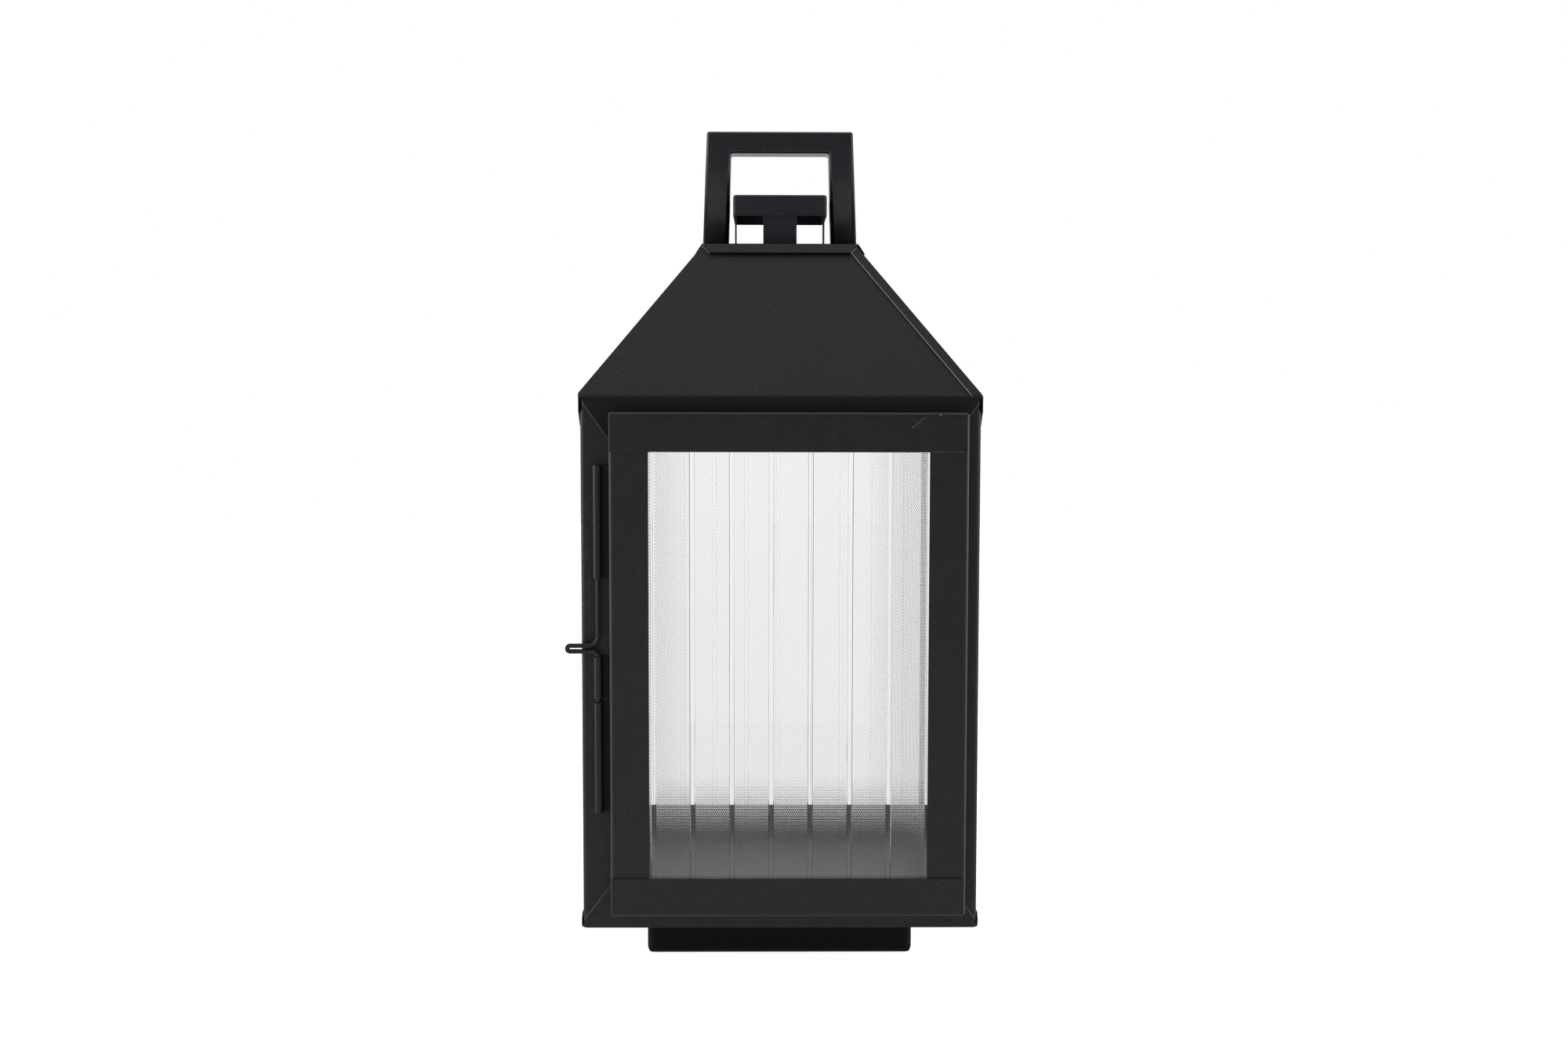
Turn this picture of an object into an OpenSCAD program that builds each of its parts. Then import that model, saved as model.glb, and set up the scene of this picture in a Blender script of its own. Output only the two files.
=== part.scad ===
// Candle lantern in folded black sheet steel: a square glazed body on a foot, a hinged door with
// a sliding bolt, a four-sided roof, a raised vent cap and a fixed carrying handle.
// The origin is the centre of the foot's underside. +Z is up and -Y is the door side.
// Faces are numbered 0 front, 1 right, 2 back, 3 left, each a quarter turn after the one before.

/* [Body] */
// Outside width and depth of the body
body_w = 168; // [160:1:180]
// Height of the body, from its floor to the roof's eave
body_h = 226.8; // [220:0.1:250]
// Thickness of the sheet steel
sheet = 0.6; // [0.5:0.05:0.7]
// Gap left at a folded or butted seam
seam = 0.06; // [0.04:0.01:0.08]
// Outside radius of the upright corners
corner_r = 2; // [1.5:0.1:2.5]
// Width of the upright strips beside the door opening
front_stile = 14; // [13:0.5:15]
// Height of the strips above and below the door opening
front_rail = 21; // [20:0.5:22]
// Width of the strips around the other three windows
window_border = 10; // [9:0.5:11]
// Height of the strips above and below those windows
window_rail = 13; // [12:0.5:14]

/* [Foot and floor] */
// Outside width of the foot
foot_w = 117; // [100:1:130]
// Height of the foot
foot_h = 20; // [15:1:25]
// Radius of the foot's edges
foot_r = 3.6; // [2:0.1:4]
// Height of the floor's lips up the body sides
floor_lip = 6; // [4:0.5:8]

/* [Roof] */
// Half width of the roof at the eave
eave_half = 84.5; // [84.4:0.1:84.6]
// Half width of the roof panels at the level of the top plate
crown_half = 33; // [30:0.5:35]
// Height from the eave to the top plate
roof_rise = 67.2; // [60:0.1:75]
// Width of the lap along each hip, measured square to the panel
hip_lap = 3.9; // [3:0.1:6]
// Depth of the aprons below the left and right eaves
apron_h = 13; // [10:0.5:13]
// Outside radius of the folds in the roof, floor and door sheets
fold_r = 1.2; // [1:0.1:1.4]
// Depth of the top plate's folded edges
plate_fold = 4.2; // [3:0.1:6]
// Diameter of the hole for rising heat
chimney_d = 30; // [24:1:30]

/* [Vent cap] */
// Outside width of the cap
cap_w = 42.4; // [42:0.1:43]
// Height of the cap's rim
cap_h = 9.4; // [8:0.1:11]
// Open height between the top plate and the rim
cap_gap = 13.7; // [10:0.1:16]
// Width of each cap leg
leg_w = 15.1; // [10:0.1:16]

/* [Handle] */
// Outside half width of the handle at the top plate
handle_foot_half = 35.4; // [35:0.1:35.5]
// Outside half width of the handle at its top
handle_top_half = 33.5; // [32.5:0.1:34]
// Height of the handle above the top plate
handle_h = 53.4; // [50:0.1:60]
// Width of the handle's uprights at the top plate
handle_foot_w = 11.9; // [11.8:0.1:12]
// Width of the handle's uprights at the top bar
handle_bar_w = 11.1; // [11:0.1:11.3]
// Thickness of the handle's top bar
handle_bar_h = 9.9; // [8:0.1:12]
// Depth of the handle, front to back
handle_d = 14.4; // [10:0.1:16]
// Wall of the handle's tube
handle_wall = 1; // [0.8:0.1:1.5]

/* [Glass] */
// Thickness of the panes
glass_t = 2; // [1.5:0.1:2.2]
// Overlap of a pane behind its frame
glass_lap = 5; // [4.5:0.1:5]
// Length of the clips that hold the panes
clip_l = 8; // [6:1:10]

/* [Door] */
// Left edge of the door
door_x0 = -71.6; // [-72:0.1:-71.5]
// Right edge of the door
door_x1 = 78.4; // [78:0.1:78.5]
// Distance that the rails' left ends stand in from the door's edge
rail_in_left = 0.4; // [0.2:0.1:1.2]
// Distance that the rails' right ends stand in from the door's edge
rail_in_right = 1; // [0.2:0.1:1.2]
// Bottom edge of the door
door_z0 = 27; // [26:0.1:28]
// Top edge of the door
door_z1 = 239.8; // [239:0.1:240.5]
// Distance from the body face to the door's front
door_proud = 8; // [7.9:0.1:8.1]
// Width of the door's strips
door_strip = 16.5; // [16:0.1:16.6]
// Outside radius of the door's folded edges
door_fold_r = 2; // [1.5:0.1:2.2]

/* [Latch] */
// Diameter of the bolt wire
bolt_d = 2; // [1.6:0.05:2]
// Outside diameter of the latch barrels
barrel_d = 3.6; // [3.5:0.1:3.7]
// Distance of the latch axis from the door's left edge
latch_out = 5; // [4.8:0.1:5.2]
// Reach of the thumb loop from the latch axis
loop_reach = 14; // [10:0.5:18]

/* [Hinges] */
// Outside diameter of the hinge knuckles
knuckle_d = 3.2; // [3.1:0.1:3.3]
// Diameter of the hinge pins
hinge_pin_d = 1.8; // [1.7:0.1:1.9]
// Length of a hinge
hinge_l = 26; // [20:1:32]

/* [Hidden] */
$fn = 48;
fold_steps = 8;

STEEL = [0.17, 0.165, 0.17];
DARK_STEEL = [0.11, 0.105, 0.11];
WIRE = [0.2, 0.2, 0.21];
GLASS = [0.88, 0.93, 0.91, 0.5];

FRONT = 0;
RIGHT = 1;
BACK = 2;
LEFT = 3;
big = 400;
half = body_w / 2;
eave_z = foot_h + body_h;
plate_z = eave_z + roof_rise;
lap = seam + sheet;

// Body walls
wall_top = eave_z - 0.45;
wall_mitre_z = foot_h + 2.2;
post_fold = 3;
inner_face = half - sheet;

// Roof: slope of the panels, height of their upper edge, and the aprons
roof_angle = atan2(roof_rise, eave_half - crown_half);
roof_tan = tan(roof_angle);
panel_top = plate_z - sheet - seam;
apron_out = half + 0.1 + sheet;
roof_out = apron_out + 0.15;
apron_cut = 7;
lap_z0 = eave_z - 0.4;

// Panes and their clips, with the clip profile's own steps
pane_gap = 0.1;
clip_sheet = 0.6;
clip_base = 2.6;
clip_reach = 3.5;
clip_rise = pane_gap + glass_t + pane_gap + clip_sheet;

// Door: front faces of the rails and stiles, and how far back its returns run
door_y = -half - door_proud;
stile_y = door_y + sheet;
stile_back = stile_y + sheet;
rail_return_back = -half - 2.5;
latch_return_back = -half - 1.6;
door_open_x0 = door_x0 + door_strip;
door_open_x1 = door_x1 - door_strip;
door_open_z0 = door_z0 + door_strip;
door_open_z1 = door_z1 - door_strip;

// Latch: axis, leaf planes and heights
latch_x = door_x0 - latch_out;
latch_y = latch_return_back + sheet - barrel_d / 2;
latch_leaf_in = 5;
bore_gap = 0.07;
keeper_z0 = 70.6;
keeper_z1 = 117.7;
guide_low_z0 = 119.4;
guide_low_z1 = 137;
guide_up_z0 = 170.3;
guide_up_z1 = 217.6;
tip_gap = 0.3;
wire_r = bolt_d / 2;
bolt_top = 190;
low_bend = 2.4;
high_bend = 4;
strand_gap = 2.4;
low_strand_z = guide_low_z1 + low_bend;
high_strand_z = low_strand_z + strand_gap;

// Hinges: axis, knuckle lengths and heights
hinge_x = door_x1 - sheet - 0.3 - knuckle_d / 2;
hinge_y = -half - 4.2;
hinge_upper_z = 205;
hinge_lower_z = 62;
knuckle_gap = 0.3;
knuckle_l = (hinge_l - 2 * knuckle_gap) / 3;
hinge_bore_gap = 0.05;
leaf_foot = 4;

function stile_of(face) = face == FRONT ? front_stile : window_border;
function rail_of(face) = face == FRONT ? front_rail : window_rail;
function opening_top(face) = wall_top - rail_of(face);
function opening_bottom(face) = foot_h + rail_of(face);

module turned(face) {
    rotate(90 * face)
        children();
}

module rounded_square(h, r) {
    square([2 * h, 2 * (h - r)], center = true);
    square([2 * (h - r), 2 * h], center = true);
    for (x = [-1, 1], y = [-1, 1])
        translate([x * (h - r), y * (h - r)])
            circle(r);
}

// Points of a line whose corners are rounded, moved to its left by the distance off.
// r is the corner radius of the line itself, so a corner to the left tightens as off grows.
function rounded_line(path, r, off) = [
    for (i = [0 : len(path) - 1])
        let (p = path[i])
        let (d0 = i > 0 ? unit(p - path[i - 1]) : unit(path[1] - p))
        let (d1 = i < len(path) - 1 ? unit(path[i + 1] - p) : d0)
        let (turn = turn_of(d0, d1))
        let (side = turn < 0 ? -1 : 1)
        let (centre = p - d0 * r * tan(abs(turn) / 2) + left_of(d0) * r * side)
        let (steps = abs(turn) < 1 ? 0 : fold_steps)
        for (j = [0 : steps])
            steps == 0
                ? p + left_of(d0) * off
                : centre - left_of(d0) * (r * side - off) * cos(turn * j / steps)
                    + d0 * (r * side - off) * sin(turn * j / steps)
];
function unit(v) = v / norm(v);
function left_of(v) = [-v[1], v[0]];
function turn_of(a, b) = atan2(a[0] * b[1] - a[1] * b[0], a * b);
function backwards(list) = [for (i = [len(list) - 1 : -1 : 0]) list[i]];

// Section of a folded sheet: path is one face, and the sheet lies on its left
module folded_section(path, r) {
    polygon(concat(rounded_line(path, r, 0), backwards(rounded_line(path, r, sheet))));
}

// A plate drawn in YZ and extruded from x0 to x1
module cross_plate(x0, x1) {
    translate([x0, 0, 0])
        rotate([90, 0, 90])
            linear_extrude(x1 - x0)
                children();
}

// A plate drawn in XZ and extruded from y0 to y1
module upright_plate(y0, y1) {
    translate([0, y1, 0])
        rotate([90, 0, 0])
            linear_extrude(y1 - y0)
                children();
}

module box(lo, hi) {
    translate(lo)
        cube(hi - lo);
}

// ---- Body walls: one folded ring, divided into posts and rails ----

module wall_ring() {
    difference() {
        translate([0, 0, foot_h])
            linear_extrude(wall_top - foot_h)
                difference() {
                    rounded_square(half, corner_r);
                    rounded_square(inner_face, corner_r - sheet);
                }
        // Room for the floor and its bends, which run out under the side walls
        box([-big, -inner_face, 0], [big, inner_face, foot_h + fold_r]);
    }
}

// The mitred zone that a rail takes out of the ring, widened by grow on its post side
module rail_zone(face, top, grow) {
    s = half - stile_of(face) + grow;
    corner_z = top ? wall_top - 0.3 - grow : wall_mitre_z + grow;
    open_z = top ? opening_top(face) - grow : opening_bottom(face) + grow;
    far_z = top ? wall_top + 1 : foot_h - 1;
    intersection() {
        upright_plate(-half - 1, 0)
            polygon([[-half, far_z], [-half, corner_z], [-s, open_z],
                [s, open_z], [half, corner_z], [half, far_z]]);
        linear_extrude(big)
            translate([0, grow - seam / 2])
                polygon([[0, 0], [-half - 2, -half - 2], [half + 2, -half - 2]]);
    }
}

module rail(face, top) {
    color(STEEL)
        intersection() {
            wall_ring();
            turned(face)
                rail_zone(face, top, 0);
        }
}

// The post between a face and the next one round
module corner_post(face) {
    next = (face + 1) % 4;
    color(STEEL)
        difference() {
            intersection() {
                wall_ring();
                turned(face)
                    union() {
                        box([half - stile_of(face), -half, 0], [half, -half + post_fold, big]);
                        box([half - post_fold, -half, 0], [half, -half + stile_of(next), big]);
                    }
            }
            for (top = [true, false]) {
                turned(face)
                    rail_zone(face, top, seam);
                turned(next)
                    rail_zone(next, top, seam);
            }
        }
}

// ---- Floor and foot ----

module base_tray() {
    y = inner_face - seam;
    lip_out = half + 0.1 + sheet;
    lip_top = foot_h + floor_lip;
    step = 0.4 * floor_lip;
    color(STEEL)
        intersection() {
            upright_plate(-y, y)
                folded_section([[-lip_out, lip_top], [-lip_out, foot_h], [lip_out, foot_h],
                    [lip_out, lip_top]], fold_r);
            cross_plate(-big, big)
                polygon([[-y, 0], [y, 0], [y, lip_top - step], [y - step, lip_top],
                    [-y + step, lip_top], [-y, lip_top - step]]);
        }
}

// A square block with its upright edges and its lower edges rounded
module foot_block(h, r, z0) {
    intersection() {
        translate([0, 0, z0])
            linear_extrude(foot_h - z0)
                rounded_square(h, r);
        for_both_ways()
            upright_plate(-h, h)
                union() {
                    translate([-h, z0 + r])
                        square([2 * h, foot_h - z0 - r]);
                    translate([-h + r, z0])
                        square([2 * (h - r), foot_h - z0]);
                    for (x = [-1, 1])
                        translate([x * (h - r), z0 + r])
                            circle(r);
                }
    }
}

module for_both_ways() {
    intersection() {
        children();
        rotate(90)
            children();
    }
}

module foot_pan() {
    h = foot_w / 2;
    color(DARK_STEEL)
        difference() {
            foot_block(h, foot_r, 0);
            foot_block(h - sheet, foot_r - sheet, sheet);
        }
}

// ---- Roof ----

// The layer between two distances outward from a face's roof plane
module roof_layer(face, lo, hi) {
    turned(face)
        translate([0, -eave_half, eave_z])
            rotate([roof_angle, 0, 0])
                box([-big, -big, lo], [big, big, hi]);
}

// Outer face of a panel in YZ, from its apron's lower edge up the slope
function panel_line(apron_z, out) = [
    [-out, apron_z],
    [-out, eave_z - (out - eave_half) * roof_tan],
    [-eave_half + (big - eave_z) / roof_tan, big]
];

// The front and back aprons are mitred to the frame. The others have their corners cut.
function apron_of(face) = face % 2 == 1 ? apron_h : rail_of(face) + eave_z - wall_top;
function apron_end(face) = face % 2 == 1
    ? [[half, eave_z - apron_h + apron_cut], [half - apron_cut, eave_z - apron_h]]
    : [[half, wall_top - 0.3], [half - stile_of(face), eave_z - apron_of(face)]];
function mirrored(points) = backwards([for (p = points) [-p[0], p[1]]]);

module roof_panel(face) {
    right = (face + 1) % 4;
    left = (face + 3) % 4;
    apron_z = eave_z - apron_of(face);
    color(STEEL)
        intersection() {
            linear_extrude(big)
                rounded_square(roof_out, corner_r);
            union() {
                intersection() {
                    turned(face)
                        intersection() {
                            cross_plate(-big, big)
                                folded_section(backwards(panel_line(apron_z - 1, apron_out)), fold_r);
                            upright_plate(-big, 0)
                                polygon(concat([[big, panel_top], [big, lap_z0], [half, lap_z0]],
                                    apron_end(face), mirrored(apron_end(face)),
                                    [[-half, lap_z0], [-big, lap_z0], [-big, panel_top]]));
                        }
                    roof_layer(right, -big, -lap);
                    roof_layer(left, -big, lap);
                }
                // Lap folded over the panel on the left
                intersection() {
                    roof_layer(left, seam, lap);
                    roof_layer(face, -hip_lap, 0);
                    box([-big, -big, lap_z0], [big, big, panel_top]);
                }
            }
        }
}

module roof_top_plate() {
    inside = lap + seam;
    outside = inside + sheet;
    edge = crown_half + outside / sin(roof_angle);
    low = plate_z - plate_fold;
    fold_line = [[0, plate_z], [-edge, plate_z], [-edge - (edge / roof_tan), plate_z - edge]];
    color(STEEL)
        difference() {
            intersection() {
                union()
                    for (face = [FRONT : LEFT])
                        turned(face)
                            intersection() {
                                cross_plate(-edge, edge)
                                    folded_section(fold_line, fold_r);
                                upright_plate(-big, 0)
                                    polygon([[-edge, plate_z], [edge, plate_z],
                                        [edge - plate_fold, low], [-edge + plate_fold, low]]);
                            }
                for (face = [FRONT : LEFT])
                    turned(face)
                        cross_plate(-big, big)
                            polygon(concat(rounded_line(fold_line, fold_r, 0),
                                [[big, 0], [big, plate_z]]));
            }
            cylinder(h = big, d = chimney_d);
        }
}

// ---- Vent cap ----

cap_z0 = plate_z + cap_gap;
cap_z1 = cap_z0 + cap_h;
cap_r = 1.5;
leg_tab = 5;

module cap_block(h, r, z1) {
    intersection() {
        translate([0, 0, cap_z0])
            linear_extrude(z1 - cap_z0)
                rounded_square(h, r);
        for_both_ways()
            upright_plate(-h, h)
                union() {
                    translate([-h, cap_z0])
                        square([2 * h, z1 - cap_z0 - r]);
                    translate([-h + r, cap_z0])
                        square([2 * (h - r), z1 - cap_z0]);
                    for (x = [-1, 1])
                        translate([x * (h - r), z1 - r])
                            circle(r);
                }
    }
}

module vent_cap() {
    color(STEEL)
        difference() {
            cap_block(cap_w / 2, cap_r, cap_z1);
            translate([0, 0, -0.01])
                cap_block(cap_w / 2 - sheet, cap_r - sheet, cap_z1 - sheet);
        }
}

// A strap with a foot on the top plate and a tab under the cap
module cap_leg(face) {
    out = cap_w / 2 - sheet - seam;
    top = cap_z1 - sheet - seam;
    color(STEEL)
        turned(face)
            cross_plate(-leg_w / 2, leg_w / 2)
                folded_section([[-out + leg_tab, top], [-out, top], [-out, plate_z],
                    [-out + leg_tab, plate_z]], fold_r);
}

// ---- Handle ----

// Outline of the handle's tube, drawn inside its outer face by the distance inset
module handle_outline(inset) {
    foot = handle_foot_half - inset;
    top = handle_top_half - inset;
    z1 = plate_z + handle_h - inset;
    in_foot = handle_foot_half - handle_foot_w + inset;
    in_top = handle_top_half - handle_bar_w + inset;
    in_z = plate_z + handle_h - handle_bar_h + inset;
    r = 1.4;
    difference() {
        polygon([[-foot, plate_z], [-top, z1 - r], [-top + r, z1],
            [top - r, z1], [top, z1 - r], [foot, plate_z]]);
        polygon([[-in_foot, plate_z - 1], [-in_top, in_z - r], [-in_top + r, in_z],
            [in_top - r, in_z], [in_top, in_z - r], [in_foot, plate_z - 1]]);
    }
}

module handle() {
    color(STEEL)
        difference() {
            upright_plate(-handle_d / 2, handle_d / 2)
                handle_outline(0);
            translate([0, 0, -0.01])
                upright_plate(handle_wall - handle_d / 2, handle_d / 2 - handle_wall)
                    handle_outline(handle_wall);
        }
}

// ---- Window glass ----

pane_half = half - window_border + glass_lap;

module pane(face) {
    y = -inner_face + pane_gap;
    color(GLASS)
        turned(face)
            box([-pane_half, y, opening_bottom(face) - glass_lap],
                [pane_half, y + glass_t, opening_top(face) + glass_lap - 1]);
}

// A folded clip: a base on the frame, a step beside the pane and a finger over it.
// The pane's edge is at x = 0 and the frame is at y = 0.
module clip() {
    translate([0, 0, -clip_l / 2])
        linear_extrude(clip_l)
            polygon([[clip_base + 0.2, 0], [clip_base + 0.2, clip_sheet],
                [clip_sheet + 0.2, clip_sheet], [clip_sheet + 0.2, clip_rise],
                [-clip_reach, clip_rise], [-clip_reach, clip_rise - clip_sheet],
                [0.2, clip_rise - clip_sheet], [0.2, 0]]);
}

module side_clips(x, y, heights) {
    for (z = heights)
        translate([x, y, z])
            clip();
}

// Clips up both edges and along the bottom of a window
module window_clips(face) {
    middle_z = (opening_bottom(face) + opening_top(face)) / 2;
    spread = face == BACK ? 65 : 40;
    color(DARK_STEEL)
        turned(face) {
            for (side = [0, 1])
                mirror([side, 0, 0])
                    side_clips(pane_half, -inner_face, [middle_z - spread, middle_z + spread]);
            for (x = [-45, 45])
                translate([x, -inner_face, opening_bottom(face) - glass_lap])
                    rotate([0, 90, 0])
                        clip();
        }
}

// ---- Door ----

// Outer face of a rail in YZ, with the rail's sheet on its left
function rail_line(z_out, side, back) =
    let (line = [[door_y, z_out - side * door_strip], [door_y, z_out], [back, z_out]])
    side < 0 ? line : backwards(line);

// A rail lies over the stile ends and is folded back along the door's top or bottom
module door_rail(z_out, side) {
    color(STEEL)
        cross_plate(door_x0 + rail_in_left, door_x1 - rail_in_right)
            folded_section(rail_line(z_out, side, rail_return_back), door_fold_r);
}

// A stile is folded back along the door's upright edge, and its ends fit inside the rails
module door_stile(x_out, side, back) {
    line = [[x_out - side * door_strip, stile_y], [x_out, stile_y], [x_out, back]];
    color(STEEL)
        intersection() {
            linear_extrude(big)
                folded_section(side > 0 ? line : backwards(line), door_fold_r);
            cross_plate(-big, big)
                polygon(concat(rounded_line(rail_line(door_z1, 1, 0), door_fold_r, sheet),
                    rounded_line(rail_line(door_z0, -1, 0), door_fold_r, sheet)));
        }
}

module door_glass() {
    y = stile_back + pane_gap;
    color(GLASS)
        box([door_open_x0 - glass_lap, y, door_open_z0 - glass_lap],
            [door_open_x1 + glass_lap, y + glass_t, door_open_z1 + glass_lap]);
}

module door_glass_clips() {
    heights = [58, 133, 208];
    color(DARK_STEEL) {
        side_clips(door_open_x1 + glass_lap, stile_back, heights);
        translate([door_open_x0 - glass_lap, 0, 0])
            mirror([1, 0, 0])
                side_clips(0, stile_back, heights);
    }
}

// ---- Latch: a wire bolt in two guides on the door, over a keeper on the body ----

module barrel(z0, z1) {
    translate([latch_x, latch_y, z0])
        cylinder(h = z1 - z0, d = barrel_d);
}

module barrel_bore(z0, z1) {
    translate([latch_x, latch_y, z0 - 1])
        cylinder(h = z1 - z0 + 2, d = bolt_d + 2 * bore_gap);
}

// A rolled barrel with a leaf that lies flat from y0 to y1 behind the door's edge
module rolled_leaf(z0, z1, y0, y1) {
    difference() {
        union() {
            barrel(z0, z1);
            box([latch_x, y0, z0], [door_x0 + latch_leaf_in, y1, z1]);
        }
        barrel_bore(z0, z1);
    }
}

module latch_guide(z0, z1) {
    color(DARK_STEEL)
        rolled_leaf(z0, z1, latch_return_back, latch_return_back + sheet);
}

module latch_keeper() {
    color(STEEL)
        difference() {
            rolled_leaf(keeper_z0, keeper_z1, -half - 1.3, -half);
            box([-half + front_stile - 0.3, -big, 0], [0, 0, big]);
        }
}

// A wire bend in the XZ plane about its centre, from angle a0 through the angle turn
module wire_bend(x, z, r, a0, turn) {
    translate([x, latch_y, z])
        rotate([90, 0, 0])
            rotate(a0)
                rotate_extrude(angle = turn)
                    translate([r, 0])
                        circle(wire_r, $fn = 24);
}

module upright_wire(z0, z1) {
    translate([latch_x, latch_y, z0])
        cylinder(h = z1 - z0, r = wire_r, $fn = 24);
}

module level_wire(x0, x1, z) {
    translate([x0, latch_y, z])
        rotate([0, 90, 0])
            cylinder(h = x1 - x0, r = wire_r, $fn = 24);
}

module latch_bolt() {
    tip_x = latch_x - loop_reach + strand_gap / 2 + wire_r;
    high_z = high_strand_z + high_bend;
    color(WIRE) {
        upright_wire(high_z, bolt_top);
        wire_bend(latch_x - high_bend, high_z, high_bend, -90, 90);
        level_wire(tip_x, latch_x - high_bend, high_strand_z);
        wire_bend(tip_x, (low_strand_z + high_strand_z) / 2, strand_gap / 2, 90, 180);
        level_wire(tip_x, latch_x - low_bend, low_strand_z);
        wire_bend(latch_x - low_bend, guide_low_z1, low_bend, 0, 90);
        upright_wire(keeper_z1 + tip_gap, guide_low_z1);
    }
}

// ---- Hinges ----

module knuckle(z0, bore_d) {
    translate([hinge_x, hinge_y, z0])
        difference() {
            cylinder(h = knuckle_l, d = knuckle_d);
            translate([0, 0, -1])
                cylinder(h = knuckle_l + 2, d = bore_d);
        }
}

// Two outer knuckles on a folded leaf that lies on the body's front
module hinge_body_leaf(z) {
    z0 = z - hinge_l / 2;
    z2 = z + hinge_l / 2 - knuckle_l;
    wall_x = hinge_x - knuckle_d / 2;
    color(DARK_STEEL) {
        for (k = [z0, z2]) {
            knuckle(k, hinge_pin_d);
            box([wall_x, hinge_y, k], [wall_x + sheet, -half, k + knuckle_l]);
        }
        box([wall_x, -half - 1.6, z0], [wall_x + sheet, -half, z0 + hinge_l]);
        box([wall_x + sheet - leaf_foot, -half - sheet, z0], [wall_x + sheet, -half, z0 + hinge_l]);
    }
}

// The middle knuckle, on a folded leaf inside the door's edge
module hinge_door_leaf(z) {
    z1 = z - knuckle_l / 2;
    gap = 0.05;
    leaf_x = door_x1 - sheet - gap;
    front = stile_back + gap;
    bend_r = door_fold_r - sheet - gap;
    foot_x = leaf_x - bend_r - leaf_foot;
    color(DARK_STEEL) {
        knuckle(z1, hinge_pin_d + 2 * hinge_bore_gap);
        translate([0, 0, z1])
            linear_extrude(knuckle_l)
                folded_section([[foot_x, front], [leaf_x, front], [leaf_x, hinge_y]], bend_r);
        box([foot_x, front, z - hinge_l / 2], [leaf_x - bend_r, front + sheet, z + hinge_l / 2]);
    }
}

module hinge_pin(z) {
    head = 0.8;
    color(WIRE)
        translate([hinge_x, hinge_y, z - hinge_l / 2]) {
            cylinder(h = hinge_l, d = hinge_pin_d);
            translate([0, 0, hinge_l])
                cylinder(h = head, d = hinge_pin_d + 1);
        }
}

foot_pan();
base_tray();
corner_post(FRONT);  // corner_post_front_right
corner_post(RIGHT);  // corner_post_back_right
corner_post(BACK);  // corner_post_back_left
corner_post(LEFT);  // corner_post_front_left
rail(FRONT, true);  // top_rail_front
rail(RIGHT, true);  // top_rail_right
rail(BACK, true);  // top_rail_back
rail(LEFT, true);  // top_rail_left
rail(FRONT, false);  // bottom_rail_front
rail(RIGHT, false);  // bottom_rail_right
rail(BACK, false);  // bottom_rail_back
rail(LEFT, false);  // bottom_rail_left
roof_panel(FRONT);  // roof_panel_front
roof_panel(RIGHT);  // roof_panel_right
roof_panel(BACK);  // roof_panel_back
roof_panel(LEFT);  // roof_panel_left
roof_top_plate();
vent_cap();
cap_leg(FRONT);  // cap_leg_front
cap_leg(RIGHT);  // cap_leg_right
cap_leg(BACK);  // cap_leg_back
cap_leg(LEFT);  // cap_leg_left
handle();
pane(RIGHT);  // glass_right
pane(BACK);  // glass_back
pane(LEFT);  // glass_left
window_clips(RIGHT);  // glass_clips_right
window_clips(BACK);  // glass_clips_back
window_clips(LEFT);  // glass_clips_left
door_rail(door_z1, 1);  // door_top_rail
door_rail(door_z0, -1);  // door_bottom_rail
door_stile(door_x0, -1, latch_return_back);  // door_stile_left
door_stile(door_x1, 1, hinge_y);  // door_stile_right
door_glass();
door_glass_clips();
latch_guide(guide_up_z0, guide_up_z1);  // latch_guide_upper
latch_guide(guide_low_z0, guide_low_z1);  // latch_guide_lower
latch_keeper();
latch_bolt();
hinge_body_leaf(hinge_upper_z);  // hinge_upper_body_leaf
hinge_door_leaf(hinge_upper_z);  // hinge_upper_door_leaf
hinge_pin(hinge_upper_z);  // hinge_upper_pin
hinge_body_leaf(hinge_lower_z);  // hinge_lower_body_leaf
hinge_door_leaf(hinge_lower_z);  // hinge_lower_door_leaf
hinge_pin(hinge_lower_z);  // hinge_lower_pin
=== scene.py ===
from math import atan2, cos, pi, radians, sin, tan

import bpy
from mathutils import Euler, Matrix, Vector


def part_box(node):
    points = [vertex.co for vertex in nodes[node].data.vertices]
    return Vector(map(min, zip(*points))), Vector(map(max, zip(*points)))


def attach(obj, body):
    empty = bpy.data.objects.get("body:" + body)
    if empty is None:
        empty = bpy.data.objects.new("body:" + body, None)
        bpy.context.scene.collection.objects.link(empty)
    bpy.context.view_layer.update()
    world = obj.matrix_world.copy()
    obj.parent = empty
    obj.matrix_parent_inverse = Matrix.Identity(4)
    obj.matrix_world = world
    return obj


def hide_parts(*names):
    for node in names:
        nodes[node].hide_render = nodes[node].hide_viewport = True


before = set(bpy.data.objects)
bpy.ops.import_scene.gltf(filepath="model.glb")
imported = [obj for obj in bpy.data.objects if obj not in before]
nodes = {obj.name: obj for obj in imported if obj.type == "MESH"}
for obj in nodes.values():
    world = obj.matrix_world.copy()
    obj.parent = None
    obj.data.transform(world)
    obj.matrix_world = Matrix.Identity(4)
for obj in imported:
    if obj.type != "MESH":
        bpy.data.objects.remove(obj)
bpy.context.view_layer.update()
MM = 0.001


# ---- Camera ----

# Where the camera stands, and how far it looks down, turns from straight ahead and leans, in radians
CAMERA_AT = (-0.0058, -0.7975, 0.2459)
LOOKS_DOWN = 0.0732
TURNS = -0.0101
LEANS = 0.0017

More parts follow.
